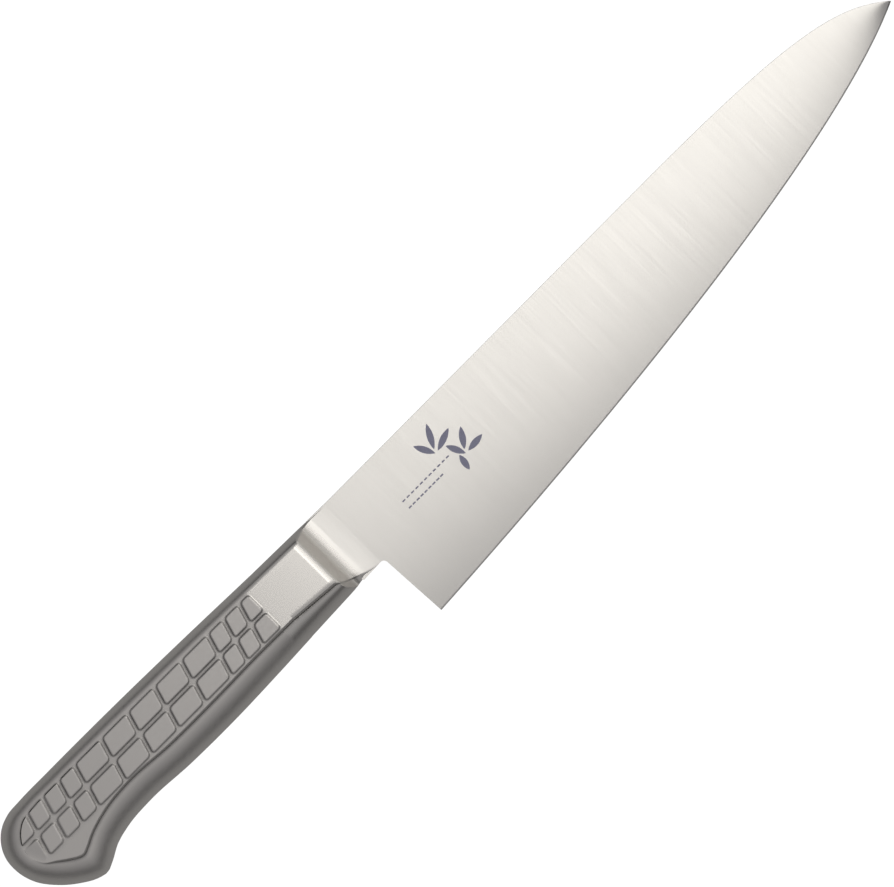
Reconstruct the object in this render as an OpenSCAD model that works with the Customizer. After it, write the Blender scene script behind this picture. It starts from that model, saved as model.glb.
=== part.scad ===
// All-steel chef's knife: a blade welded into a solid bolster, and a hollow
// handle of two pressed sheet halves with rows of embossed tiles. Millimetres.
// The knife lies on its left face, tip towards +X, spine towards +Y, right
// face up. The origin is the middle of the lowest face of its bounding box.
//
// Shapes are worked out in the knife's own lines: x runs from the heel to the
// tip, y is measured from the spine line at the neck and z from the mid-plane.
// place() moves them into the resting frame.

/* [Blade] */
// Length of the blade from heel to tip
blade_length = 208.7; // [195:0.1:230]
// Height of the blade at the heel, from the spine line to the edge
heel_height = 44; // [42:0.5:47]
// Thickness of the blade at the neck
spine_thickness = 2; // [1.6:0.1:2.4]
// Thickness of the spine where it meets the tip
tip_thickness = 1.1; // [0.8:0.1:1.4]
// Share of the blade's height over which its faces are ground convex
grind_share = 1; // [0.8:0.05:1]
// Width of the sharpened bevel along the edge
bevel_width = 0.45; // [0.3:0.05:0.8]
// Length of the stub tang behind the bolster's front
tang_length = 14.5; // [12:0.5:17]

/* [Handle] */
// Thickness of the handle between its two flat faces
handle_thickness = 17; // [15:0.5:18]
// Thickness of the pressed sheet
sheet = 1; // [0.8:0.1:1.2]
// Height that the flat face stands above the belly roll
panel_rise = 0.7; // [0.4:0.1:1]
// Width of the rounded edge of the flat face
panel_edge = 1.3; // [1:0.1:1.5]

/* [Embossed tiles] */
// Height of a tile above the flat face
tile_rise = 0.35; // [0.2:0.05:0.4]
// Width of the grooves between the tiles of a row
tile_gap = 1.1; // [0.8:0.1:1.6]
// Radius of a tile's corners
tile_corner = 0.9; // [0.6:0.1:1.1]
// Lean of the tiles' sides
tile_lean = 16.5; // [8:0.5:20]
// Spacing of the long tiles
long_pitch = 10.35; // [10:0.05:10.5]

/* [Neck and welds] */
// Steepest angle of the neck's slopes
neck_angle = 55; // [53:1:60]
// Radius of the neck's shoulder
shoulder_radius = 3; // [2.5:0.5:3.5]
// Width of the handle's seam weld
seam_width = 1.6; // [1.2:0.2:2]
// Width of the weld between the bolster and the handle
ring_width = 2; // [1.5:0.5:3]
// Length of the bolster's spigot inside the handle
spigot_length = 8; // [5:1:12]
// Clearance round the spigot
spigot_clearance = 0.15; // [0.1:0.05:0.3]

/* [Hidden] */
$fn = 48;
half = handle_thickness / 2;
blade_half = spine_thickness / 2;
seam = seam_width / 2;

// --- the blade's curves ----------------------------------------------------
heel_x = -0.35;
tip_x = heel_x + blade_length;
tip_y = -13.1;
tip_land = 0.25;
edge_curve = [
    [heel_x, -heel_height],
    [heel_x + 0.29 * blade_length, 3.3 - heel_height],
    [heel_x + 0.807 * blade_length, 12.2 - heel_height],
    [tip_x, tip_y - tip_land]
];
drop_x = heel_x + 0.585 * blade_length;
drop_curve = [
    [drop_x, 0],
    [drop_x + 0.292 * blade_length, 0],
    [drop_x + 0.36 * blade_length, -3.5],
    [tip_x, tip_y]
];
land_half = 0.03;
ground_half = 0.15;
blade_steps = 36;
halvings = 24;
blade_rows = [0.06, 0.14, 0.24, 0.36, 0.5, 1];

// --- the heel's notch ----------------------------------------------------------
root_x = -2.8;
notch_radius = 1.35;
notch_steps = 4;
rear_steps = 3;

// --- the neck ----------------------------------------------------------------
// Shoulder arc, straight slope, hollow arc and a long foot arc out on the blade
shoulder_x = -17;
slope_x = shoulder_x + shoulder_radius * sin(neck_angle);
slope_z = half - shoulder_radius * (1 - cos(neck_angle));
hollow_radius = 7.5;
foot_angle = 4;
foot_x = -2;
foot_fall = tan(foot_angle / 2);
hollow_run = hollow_radius * (sin(neck_angle) - sin(foot_angle));
hollow_drop = hollow_radius * (cos(foot_angle) - cos(neck_angle));
slope_run = (slope_z - blade_half - hollow_drop - foot_fall * (foot_x - slope_x - hollow_run))
    / (tan(neck_angle) - foot_fall);
hollow_x = slope_x + slope_run;
turn_x = hollow_x + hollow_run;
foot_radius = (foot_x - turn_x) / sin(foot_angle);
turn_z = blade_half + foot_radius * (1 - cos(foot_angle));
front_x = -9.5;
toe_thickness = 0.05;
toe_x = foot_x - sqrt(2 * foot_radius * toe_thickness);
tang_y = [-17.5, -3.5];
tang_corner = 2;
tang_ramp = 2.5;
tang_x = front_x - tang_length;
crease_start = -16;
crease_end = -3;
crease_sweep = 1.6;
facet_drop = 0.3;
facet_slope = tan(20);
facet_edge = 0.5;
facet_run = 3;
flat_slope = 0.0833;
belly_slope = 0.041;
spine_narrowing = 0.8;
edge_round = 1.6;
inner_share = 1 / 3;
bolster_x = -29;
ring_x = bolster_x - ring_width;
bolster_stations = [bolster_x, -23, shoulder_x, -16.4, -15.7, -15.1, slope_x, hollow_x,
    -12.1, -11.4, -10.7, -10.1, front_x];
weld_stations = [for (s = [0, 0.12, 0.25, 0.4, 0.6, 0.8, 1]) front_x + (toe_x - front_x) * s];

// --- the handle's ribs ---------------------------------------------------------
// Each rib runs from the outline to the edge of the flat face: [outline x,
// outline y, flat x, flat y, share of the panel's rise, squareness]. They go
// round from the neck along the spine, the butt, the hook and the belly.
spine_inset = 3.2;
spine_square = 2.4;
belly_square = 1.8;
belly_step = 1.4;
ribs = [
    [ring_x,   0.6, ring_x, 0.6 - spine_inset, 0, spine_square],
    [ -60,     1.5,  -60,   -2.1, 0,    spine_square],
    [ -85,     2,    -85,   -1.8, 0,    spine_square],
    [-110,     2.1, -110,   -1.7, 0,    spine_square],
    [-121,     2,   -119.5, -1.9, 0,    spine_square],
    [-126,     1.6, -123.5, -2.5, 0,    2.3],
    [-130,     0,   -126.2, -4.2, 0,    2.2],
    [-133,    -2.7, -128.2, -6.5, 0,    2.1],
    [-135,    -6.6, -129.4, -9.1, 0,    2.1],
    [-135.4, -11.4, -129.4,-12.1, 0,    2.1],
    [-134,   -16.7, -128,  -15.1, 0.15, 2],
    [-130,   -22.2, -125.2,-17.5, 0.7,  2],
    [-125,   -26.4, -122,  -19.9, 1,    2],
    [-121,   -28.7, -119.8,-21.2, 1,    2],
    [-117.6, -29.5, -118.1,-21.6, 1,    2],
    [-114.8, -28.4, -116.2,-20.9, 1,    2],
    [-110,   -25.9, -111.6,-18.8, 1,    2],
    [-104,   -24.4, -105,  -17,   1,    2],
    [ -95,   -23.8,  -95.5,-16.1, 1,    2],
    [ -80,   -24.6,  -80,  -17,   1,    2],
    [ -63,   -24.8,  -63,  -17.1, 1,    2],
    [ -45,   -24.3,  -45,  -16.8, 1.1,  1.9],
    [ring_x, -23.7, ring_x,-16.9, belly_step, belly_square]
];
rib_steps = 4;
wall_rows = 8;
edge_rows = [0.3, 0.65, 1];

// --- the tile rows ---------------------------------------------------------------
// [middle y at x = tile_datum, its drift per mm, height of the tiles, groove
// behind the long tiles, pitch of the short tiles behind it, rear end]
tile_datum = -100;
tile_rows = [
    [ -4.85, -0.0148, 5.9, -103.5, 6.25, -129.8],
    [-12.05, -0.0105, 5.8, -105.2, 6.45, -128.4]
];
long_tiles = 5;
rear_short = 3;
front_short = 2;
front_pitch = 6.1;
tile_front = -35;
tile_flare = 0.2;
tile_root = 0.4;
butt_corner = 4.2;
butt_lean = -25;

// --- the whole knife's box ---------------------------------------------------------
butt_x = -135.44;
crown_y = 2.12;
shift = [-(tip_x + butt_x) / 2, (heel_height - crown_y) / 2, half + tile_rise];

blade_steel = [0.80, 0.79, 0.77];
polished_steel = [0.84, 0.83, 0.81];
pressed_steel = [0.62, 0.61, 0.59];
weld_steel = [0.72, 0.70, 0.67];

// --- general functions ---------------------------------------------------------------
function flip(v) = [for (i = [len(v) - 1:-1:0]) v[i]];
function bezier(c, t) =
    pow(1 - t, 3) * c[0] + 3 * t * pow(1 - t, 2) * c[1]
    + 3 * t * t * (1 - t) * c[2] + pow(t, 3) * c[3];

// A smooth curve through rows of numbers, paced by the distance between outlines
function step(k, i) = norm([k[i + 1][0] - k[i][0], k[i + 1][1] - k[i][1]]);
function tangent(k, i) =
    i == 0 ? (k[1] - k[0]) / step(k, 0)
    : i == len(k) - 1 ? (k[i] - k[i - 1]) / step(k, i - 1)
    : let (a = step(k, i - 1), b = step(k, i))
        ((k[i] - k[i - 1]) * b / a + (k[i + 1] - k[i]) * a / b) / (a + b);
function hermite(k, i, t) =
    let (h = step(k, i), u = 1 - t)
    (1 + 2 * t) * u * u * k[i] + t * u * u * h * tangent(k, i)
    + t * t * (3 - 2 * t) * k[i + 1] - t * t * u * h * tangent(k, i + 1);
function smooth(k, n) = concat(
    [for (i = [0:len(k) - 2]) for (s = [0:n - 1]) hermite(k, i, s / n)],
    [k[len(k) - 1]]);

// Inward normal of a handle line, which starts and ends square to x
function inward(p, i) =
    i == 0 ? [0, -1]
    : i == len(p) - 1 ? [0, 1]
    : let (d = p[i + 1] - p[i - 1]) [-d[1], d[0]] / norm(d);

// Closed solid through rings of equal length. Point j of a ring faces point
// last - j across the solid, which is how its two ends are closed.
module skin(rings) {
    n = len(rings[0]);
    m = len(rings);
    sides = [for (i = [0:m - 2]) for (j = [0:n - 1])
        let (a = i * n + j, b = i * n + (j + 1) % n)
        each [[a, b, b + n], [a, b + n, a + n]]];
    first = [for (j = [0:n / 2 - 2])
        each [[j, n - 2 - j, j + 1], [j, n - 1 - j, n - 2 - j]]];
    last = [for (f = first) (m - 1) * n * [1, 1, 1] + flip(f)];
    polyhedron([for (r = rings) each r], concat(sides, first, last), convexity = 6);
}

module place() {
    translate(shift) children();
}

// --- outline functions ---------------------------------------------------------------
function spine_y(x) = x < 0 ? ribs[0][1] * x / ring_x : 0;
function belly_y(x) = ribs[len(ribs) - 1][1] + belly_slope * (x - ring_x);
function crease_y(x) =
    let (low = belly_y(x),
        high = ribs[len(ribs) - 1][3] - flat_slope * (min(x, crease_start) - ring_x),
        w = min(max((x - crease_start) / (crease_end - crease_start), 0), 1))
    low + (high - belly_y(min(x, crease_start))) * pow(1 - w, crease_sweep);

// Half thickness of the neck: shoulder, straight slope, hollow, foot, blade
function neck_half(x) =
    x <= shoulder_x ? half
    : x < slope_x ? half - shoulder_radius + sqrt(pow(shoulder_radius, 2) - pow(x - shoulder_x, 2))
    : x < hollow_x ? slope_z - (x - slope_x) * tan(neck_angle)
    : x < turn_x ? turn_z + arc_drop(hollow_radius, turn_x - x + hollow_radius * sin(foot_angle))
        - arc_drop(hollow_radius, hollow_radius * sin(foot_angle))
    : x < foot_x ? blade_half + arc_drop(foot_radius, foot_x - x)
    : blade_half;
function arc_drop(radius, run) = radius - sqrt(pow(radius, 2) - pow(run, 2));

// Half thickness of the blade at a distance above the cutting edge. The grind
// sets in between the bolster's front and the heel.
function ground(above, full, height) =
    let (u = 1 - min(above / (grind_share * height), 1))
    ground_half + (full - ground_half) * (1 - u * u);
function blade_at(x, above, height = heel_height) =
    let (full = blade_half + (tip_thickness / 2 - blade_half) * max(x, 0) / tip_x,
        share = min(max((x - front_x) / (root_x - front_x), 0), 1))
    above < bevel_width
    ? land_half + (ground(bevel_width, full, height) - land_half) * above / bevel_width
    : full + (ground(above, full, height) - full) * share;

// --- blade ---------------------------------------------------------------------------
// Parameter at which a curve reaches x, found by halving
function reach(c, x, a = 0, b = 1, n = halvings) =
    n == 0 ? (a + b) / 2
    : let (m = (a + b) / 2)
        bezier(c, m)[0] < x ? reach(c, x, m, b, n - 1) : reach(c, x, a, m, n - 1);
function blade_top(x) = x < drop_x ? spine_y(x) : bezier(drop_curve, reach(drop_curve, x))[1];

// One upright ring of the blade between two heights, above the cutting edge at edge_y
function blade_ring(x, low, high, edge_y) =
    let (bevel = min(bevel_width, 0.3 * (high - low)),
        rise = concat([0, bevel], [for (r = blade_rows) bevel + (high - low - bevel) * r]),
        face = [for (r = rise) [x, low + r, blade_at(x, low + r - edge_y, high - edge_y)]])
    concat(face, [for (p = flip(face)) [x, p[1], -p[2]]]);

// Lower and upper lines of the tang: [x, low, high]
tang_line = [
    [tang_x, tang_y[0] + tang_corner, tang_y[1] - tang_corner],
    [tang_x + tang_corner, tang_y[0], tang_y[1]],
    [front_x - tang_ramp, tang_y[0], tang_y[1]],
    [front_x, belly_y(front_x), spine_y(front_x)]
];

module blade() {
    notch_y = belly_y(root_x) - notch_radius;
    notch = [for (i = [0:notch_steps]) let (a = 90 * i / notch_steps)
        [root_x + notch_radius * sin(a), notch_y + notch_radius * cos(a)]];
    notch_end = notch[notch_steps];
    rear = [for (i = [1:rear_steps])
        notch_end + (edge_curve[0] - notch_end) * i / (rear_steps + 1)];
    root = concat(
        [for (t = tang_line) blade_ring(t[0], t[1], t[2], -heel_height)],
        [for (p = concat(notch, rear)) blade_ring(p[0], p[1], spine_y(p[0]), -heel_height)]);
    edge = [for (i = [0:blade_steps]) bezier(edge_curve, i / blade_steps)];
    color(blade_steel) place()
        skin(concat(root, [for (p = edge) blade_ring(p[0], p[1], blade_top(p[0]), p[1])]));
}

// --- sections of the handle's front and of the neck --------------------------------
// Points from the belly to the spine, set in from the surface by inset: [y, z]
function neck_section(x, inset = 0, floor_z = seam) =
    let (n = neck_half(x) - inset,
        top = spine_y(x) - inset,
        narrow = pow(neck_half(x) / half, spine_narrowing),
        flat_top = spine_y(x) - spine_inset * narrow - inset * inner_share,
        low = belly_y(x) + inset,
        crease = crease_y(x) + inset * inner_share,
        start = min(x, crease_start),
        band = crease_y(start) - belly_y(start) - inset * (1 - inner_share),
        drop = facet_drop * min(1, neck_half(x) - blade_half),
        full = half - panel_rise * belly_step - inset,
        roll = min(full, n - drop),
        edge = panel_edge + (facet_edge - panel_edge) * min(max((x - crease_start) / facet_run, 0), 1),
        spine = [for (i = [wall_rows:-1:0])
            let (q = wall_angle(i, floor_z / n, spine_square), power = 2 / spine_square)
            [flat_top + (top - flat_top) * pow(cos(q), power), n * pow(sin(q), power)]],
        rim = [for (e = edge_rows)
            [crease + edge * e, roll + (n - roll) * (1 - pow(1 - e, edge_round))]],
        belly = [for (i = [0:wall_rows])
            let (q = wall_angle(i, floor_z / roll, belly_square),
                y = low + (crease - low) * (1 - pow(cos(q), 2 / belly_square)),
                away = 1 - min((y - low) / band, 1),
                swell = full * pow(1 - pow(away, belly_square), 1 / belly_square),
                facet = n - drop - facet_slope * (crease - y))
            [y, max(x < shoulder_x ? swell : min(swell, facet), floor_z)]])
    [for (p = concat(belly, rim, spine))
        [p[0], p[1] - blade_half + blade_at(min(x, 0), p[0] + heel_height)]];
function wall_angle(i, z, power) =
    rim_angle(z, power) * (1 - i / wall_rows) + 90 * i / wall_rows;
function rim_angle(z, power) = asin(pow(min(z, 1), power / 2));

module neck_skin(stations, inset = 0) {
    skin([for (x = stations) let (s = neck_section(x, inset))
        concat([for (p = s) [x, p[0], p[1]]], [for (p = flip(s)) [x, p[0], -p[1]]])]);
}

// --- bolster ---------------------------------------------------------------------------
module bolster() {
    color(polished_steel) place() difference() {
        union() {
            neck_skin(bolster_stations);
            neck_skin([bolster_x - spigot_length, ring_x, bolster_x, bolster_x + 1],
                sheet + spigot_clearance);
        }
        translate([0, 0, -blade_half]) linear_extrude(spine_thickness)
            polygon(concat([for (t = tang_line) [t[0], t[1]]], [for (t = flip(tang_line)) [t[0], t[2]]]));
    }
}

// --- handle shells -----------------------------------------------------------------------
function line(r, c) = [for (k = r) [k[c], k[c + 1]]];

// Points from the outline to the flat face at every rib, set in by inset: [x, y, z]
function shell_rows(inset) =
    let (r = smooth(ribs, rib_steps), outline = line(r, 0), flat_edge = line(r, 2))
    [for (i = [0:len(r) - 1])
        let (power = r[i][5],
            s = outline[i] + inset * inward(outline, i),
            turn = inward(flat_edge, i),
            p = flat_edge[i] + inset * inner_share * turn,
            roll = half - inset - panel_rise * max(r[i][4], 0))
        concat(
            [for (k = [0:wall_rows])
                let (q = wall_angle(k, seam / roll, power),
                    xy = p + (s - p) * pow(cos(q), 2 / power))
                [xy[0], xy[1], roll * pow(sin(q), 2 / power)]],
            [for (e = edge_rows)
                let (xy = p + turn * panel_edge * e)
                [xy[0], xy[1], roll + (half - inset - roll) * (1 - pow(1 - e, edge_round))]])];

// A pad with leaning ends between left and right, measured at its middle height
module tile(middle, height, left, right, left_lean, right_lean, rear_corner = tile_corner) {
    spread = height / 2 - tile_corner;
    module corner(x, y, r) {
        translate([x, middle + y, half - tile_root])
            cylinder(h = tile_root + tile_rise, r1 = r + tile_flare * tile_root / tile_rise,
                r2 = r - tile_flare, $fn = 20);
    }
    hull() {
        corner(left + tile_corner - spread * tan(left_lean), -spread, tile_corner);
        corner(left + rear_corner + spread * tan(left_lean) * (tile_corner / rear_corner),
            spread + tile_corner - rear_corner, rear_corner);
        corner(right - tile_corner - spread * tan(right_lean), -spread, tile_corner);
        corner(right - tile_corner + spread * tan(right_lean), spread, tile_corner);
    }
}

module tiles(row, rear_lean, rear_corner) {
    long_start = row[3];
    long_end = long_start + long_tiles * long_pitch;
    grooves = concat(
        [for (i = [rear_short:-1:1]) long_start - i * row[4]],
        [for (i = [0:long_tiles]) long_start + i * long_pitch],
        [for (i = [1:front_short]) long_end + i * front_pitch]);
    ends = concat([row[5] - tile_gap / 2], grooves, [tile_front + tile_gap / 2]);
    for (i = [0:len(ends) - 2]) {
        rear = i == 0;
        front = i == len(ends) - 2;
        left = ends[i] + tile_gap / 2;
        right = ends[i + 1] - tile_gap / 2;
        tile(row[0] + row[1] * ((left + right) / 2 - tile_datum), row[2], left, right,
            rear ? rear_lean : tile_lean, front ? 0 : tile_lean, rear ? rear_corner : tile_corner);
    }
}

// Pressed sheet as one closed surface: walls outside and inside, the seam's
// edge, the flat face filled by rungs from spine to belly, and the open front
module pressed_sheet() {
    outer = shell_rows(0);
    inner = shell_rows(sheet);
    n = len(outer[0]);
    end = len(outer) - 1;
    top = n - 1;
    skip = n * (end + 1);
    function quad(a, b, c, d) = [[a, b, c], [a, c, d]];
    walls = [for (i = [0:end - 1]) for (j = [0:top - 1])
        let (o = i * n + j, v = o + skip)
        each concat(quad(o, o + 1, o + n + 1, o + n), quad(v, v + n, v + n + 1, v + 1))];
    seam_edge = [for (i = [0:end - 1])
        let (o = i * n, v = o + skip) each quad(o, o + n, v + n, v)];
    rungs = [for (i = [0:floor(end / 2) - 1])
        let (a = i * n + top, b = (end - i) * n + top,
            face = i + 1 < end - i - 1 ? quad(a + n, a, b, b - n) : [[a + n, a, b]])
        each concat(face, [for (f = face) flip(f) + skip * [1, 1, 1]])];
    last = end * n;
    front = [for (j = [0:top - 1])
        each concat(quad(j + 1, j, j + skip, j + 1 + skip),
            quad(last + j, last + j + 1, last + j + 1 + skip, last + j + skip))];
    lip = quad(last + top, top, top + skip, last + top + skip);
    polyhedron([for (r = concat(outer, inner)) each r],
        concat(walls, seam_edge, rungs, front, lip), convexity = 6);
}

module handle_shell() {
    pressed_sheet();
    tiles(tile_rows[0], 0, butt_corner);
    tiles(tile_rows[1], butt_lean, tile_corner);
}

module handle_shell_right() {
    color(pressed_steel) place() handle_shell();
}

module handle_shell_left() {
    color(pressed_steel) place() mirror([0, 0, 1]) handle_shell();
}

// --- welds ---------------------------------------------------------------------------------
module handle_seam_weld() {
    outline = line(smooth(ribs, rib_steps), 0);
    inside = [for (i = [0:len(outline) - 1]) outline[i] + sheet * inward(outline, i)];
    color(weld_steel) place() translate([0, 0, -seam]) linear_extrude(seam_width)
        polygon(concat(outline, flip(inside)));
}

module bolster_ring_weld() {
    color(weld_steel) place() difference() {
        neck_skin([ring_x, bolster_x]);
        neck_skin([ring_x - 1, bolster_x + 1], sheet + spigot_clearance);
    }
}

module neck_weld() {
    skin([for (x = weld_stations)
        let (s = [for (p = neck_section(x, 0, blade_half))
                let (face = blade_at(x, p[0] + heel_height))
                [x, p[0], max(p[1], face + toe_thickness / 2), face]])
        concat([for (p = s) [p[0], p[1], p[2]]], [for (p = flip(s)) [p[0], p[1], p[3]]])]);
}

module neck_weld_right() {
    color(weld_steel) place() neck_weld();
}

module neck_weld_left() {
    color(weld_steel) place() mirror([0, 0, 1]) neck_weld();
}

blade();
bolster();
handle_shell_right();
handle_shell_left();
handle_seam_weld();
bolster_ring_weld();
neck_weld_right();
neck_weld_left();
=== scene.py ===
"""An all-steel chef's knife lying on a pale floor: a ground blade, a polished bolster
and a hollow handle of two pressed halves with rows of embossed tiles.

Shapes are worked out in millimetres in the knife's own lines: x from the heel to the tip,
y from the spine line at the neck, z from the mid-plane. They are the lines that the CAD
model is drawn with, and shift moves them to where the CAD blade lies, in metres.
"""

import math

import bpy
import numpy as np
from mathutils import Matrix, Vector


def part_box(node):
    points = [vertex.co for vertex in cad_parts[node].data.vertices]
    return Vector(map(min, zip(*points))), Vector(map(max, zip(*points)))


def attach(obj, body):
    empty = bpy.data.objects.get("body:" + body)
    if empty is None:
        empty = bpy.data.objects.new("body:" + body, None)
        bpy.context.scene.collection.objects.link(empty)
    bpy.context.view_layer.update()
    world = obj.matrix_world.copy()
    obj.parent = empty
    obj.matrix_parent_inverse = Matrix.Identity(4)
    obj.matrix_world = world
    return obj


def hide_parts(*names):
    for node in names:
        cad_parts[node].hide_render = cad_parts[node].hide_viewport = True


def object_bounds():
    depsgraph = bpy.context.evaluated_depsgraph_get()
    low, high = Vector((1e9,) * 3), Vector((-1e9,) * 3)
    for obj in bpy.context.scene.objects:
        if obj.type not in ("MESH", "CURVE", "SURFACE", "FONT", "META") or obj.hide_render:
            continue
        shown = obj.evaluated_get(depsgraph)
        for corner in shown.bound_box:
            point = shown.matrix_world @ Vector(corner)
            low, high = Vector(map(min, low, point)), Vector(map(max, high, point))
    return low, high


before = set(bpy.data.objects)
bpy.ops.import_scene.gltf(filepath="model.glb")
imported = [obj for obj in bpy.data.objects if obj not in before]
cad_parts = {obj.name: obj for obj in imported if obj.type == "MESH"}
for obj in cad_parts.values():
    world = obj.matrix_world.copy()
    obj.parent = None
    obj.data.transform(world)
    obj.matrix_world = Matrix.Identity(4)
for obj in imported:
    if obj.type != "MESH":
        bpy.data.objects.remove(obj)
cad_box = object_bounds()

MM = 0.001

# --- sizes of the knife, in millimetres -------------------------------------------------
# Blade: its outline, its ground faces and its bevel
HEEL_X = -0.35
BLADE_LENGTH = 208.7
HEEL_HEIGHT = 44.0
TIP_X = HEEL_X + BLADE_LENGTH
TIP_Y = -13.1
TIP_LAND = 0.25
GRIND_SHARE = 1.0
BEVEL_WIDTH = 0.45
LAND_HALF = 0.03
GROUND_HALF = 0.15
TIP_HALF = 0.55
DROP_X = HEEL_X + 0.585 * BLADE_LENGTH

# Handle: the raised flat face, the pressed sheet, half the seam's width and the tiles
PANEL_RISE = 0.7
PANEL_EDGE = 0.8
SHEET = 1.0
SEAM = 0.8
TILE_RISE = 0.35

# Neck: stations from the heel's notch to the ring weld, and the line of the crease
ROOT_X = -2.8
NOTCH_RADIUS = 1.35
FRONT_X = -9.5
BOLSTER_X = -29.0
RING_X = -31.0
SHOULDER_X = -17.0
SHOULDER_RADIUS = 3.0
NECK_ANGLE = math.radians(60)
CREASE_START = -16.0
CREASE_END = -3.0
CREASE_SWEEP = 1.6
FLAT_SLOPE = 0.0833
BELLY_SLOPE = 0.041

# The frame gives the knife's place and thickness
blade_low, blade_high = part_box("blade")
mid_plane = (blade_low.z + blade_high.z) / 2
shift = Vector((blade_high.x - TIP_X * MM, blade_low.y + HEEL_HEIGHT * MM, mid_plane))
BLADE_HALF = (blade_high.z - blade_low.z) / 2 / MM
HALF = shift.z / MM - TILE_RISE

# Ribs of the handle, round from the neck by the spine, the butt, the hook and the belly:
# outline x, y; edge of the flat face x, y; share of the panel's rise; squareness
RIBS = np.array([
    [RING_X, 0.6, RING_X, -2.6, 0, 2.4],
    [-60, 1.5, -60, -2.1, 0, 2.4],
    [-85, 2, -85, -1.8, 0, 2.4],
    [-110, 2.1, -110, -1.7, 0, 2.4],
    [-121, 2, -119.5, -1.9, 0, 2.4],
    [-126, 1.6, -123.5, -2.5, 0, 2.3],
    [-130, 0, -126.2, -4.2, 0, 2.2],
    [-133, -2.7, -128.2, -6.5, 0, 2.1],
    [-135, -6.6, -129.4, -9.1, 0, 2.1],
    [-135.4, -11.4, -129.4, -12.1, 0, 2.1],
    [-134, -16.7, -128, -15.1, 0.15, 2],
    [-130, -22.2, -125.2, -17.5, 0.7, 2],
    [-125, -26.4, -122, -19.9, 1, 2],
    [-121, -28.7, -119.8, -21.2, 1, 2],
    [-117.6, -29.5, -118.1, -21.6, 1, 2],
    [-114.8, -28.4, -116.2, -20.9, 1, 2],
    [-110, -25.9, -111.6, -18.8, 1, 2],
    [-104, -24.4, -105, -17, 1, 2],
    [-95, -23.8, -95.5, -16.1, 1, 2],
    [-80, -24.6, -80, -17, 1, 2],
    [-63, -24.8, -63, -17.1, 1, 2],
    [-45, -24.3, -45, -16.8, 1.1, 1.9],
    [RING_X, -23.7, RING_X, -16.9, 1.4, 1.8],
], float)

# Tile rows: middle y at x = -100, drift per mm, height, rear groove of the long tiles,
# pitch of the short tiles behind it, rear end
TILE_ROWS = [
    (-4.85, -0.0148, 5.9, -103.5, 6.25, -129.8),
    (-12.05, -0.0105, 5.8, -105.2, 6.45, -128.4),
]
TILE_DATUM = -100.0
TILE_GAP = 1.1
TILE_CORNER = 0.9
TILE_FLANK = 0.7
TILE_REACH = 4
TILE_LEAN = math.radians(16.5)
LONG_PITCH = 10.35
LONG_TILES = 5
REAR_SHORT = 3
FRONT_SHORT = 2
FRONT_PITCH = 6.1
TILE_FRONT = -35.0
# Rear tile of each row: lean and shift of its rear side, corner, length over which it rises
REAR_TILES = [
    (math.radians(12), 0.6, 2.9, 0),
    (math.radians(-25), -0.8, TILE_CORNER, 6),
]


# --- curves ---------------------------------------------------------------------------
def bezier(c, t):
    t = np.asarray(t, float)[..., None]
    c = np.array(c, float)
    return (1 - t) ** 3 * c[0] + 3 * t * (1 - t) ** 2 * c[1] + 3 * t * t * (1 - t) * c[2] + t ** 3 * c[3]


EDGE_CURVE = [
    (HEEL_X, -HEEL_HEIGHT),
    (HEEL_X + 0.29 * BLADE_LENGTH, 3.3 - HEEL_HEIGHT),
    (HEEL_X + 0.807 * BLADE_LENGTH, 12.2 - HEEL_HEIGHT),
    (TIP_X, TIP_Y - TIP_LAND),
]
DROP_CURVE = [
    (DROP_X, 0),
    (DROP_X + 0.292 * BLADE_LENGTH, 0),
    (DROP_X + 0.36 * BLADE_LENGTH, -3.5),
    (TIP_X, TIP_Y),
]
drop_line = bezier(DROP_CURVE, np.linspace(0, 1, 2001))


def spine_y(x):
    """Height of the spine line, from the handle to the tip."""
    x = np.asarray(x, float)
    return np.where(x < 0, RIBS[0, 1] * x / RING_X, np.interp(x, drop_line[:, 0], drop_line[:, 1], left=0))


def belly_y(x):
    return RIBS[-1, 1] + BELLY_SLOPE * (np.asarray(x, float) - RING_X)


def crease_y(x):
    """Lower edge of the flat face, which sweeps down the neck's slope to the belly line."""
    x = np.asarray(x, float)
    level = np.minimum(x, CREASE_START)
    high = RIBS[-1, 3] - FLAT_SLOPE * (level - RING_X)
    w = np.clip((x - CREASE_START) / (CREASE_END - CREASE_START), 0, 1)
    return belly_y(x) + (high - belly_y(level)) * (1 - w) ** CREASE_SWEEP


# The neck's profile: shoulder arc, straight slope, hollow arc, long foot arc
FOOT_X = -2.0
FOOT_ANGLE = math.radians(2)
HOLLOW_RADIUS = 6.0
SLOPE_X = SHOULDER_X + SHOULDER_RADIUS * math.sin(NECK_ANGLE)
SLOPE_Z = HALF - SHOULDER_RADIUS * (1 - math.cos(NECK_ANGLE))
HOLLOW_RUN = HOLLOW_RADIUS * (math.sin(NECK_ANGLE) - math.sin(FOOT_ANGLE))
HOLLOW_DROP = HOLLOW_RADIUS * (math.cos(FOOT_ANGLE) - math.cos(NECK_ANGLE))
FOOT_FALL = math.tan(FOOT_ANGLE / 2)
SLOPE_RUN = ((SLOPE_Z - BLADE_HALF - HOLLOW_DROP - FOOT_FALL * (FOOT_X - SLOPE_X - HOLLOW_RUN))
             / (math.tan(NECK_ANGLE) - FOOT_FALL))
HOLLOW_X = SLOPE_X + SLOPE_RUN
TURN_X = HOLLOW_X + HOLLOW_RUN
FOOT_RADIUS = (FOOT_X - TURN_X) / math.sin(FOOT_ANGLE)
TURN_Z = BLADE_HALF + FOOT_RADIUS * (1 - math.cos(FOOT_ANGLE))


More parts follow.
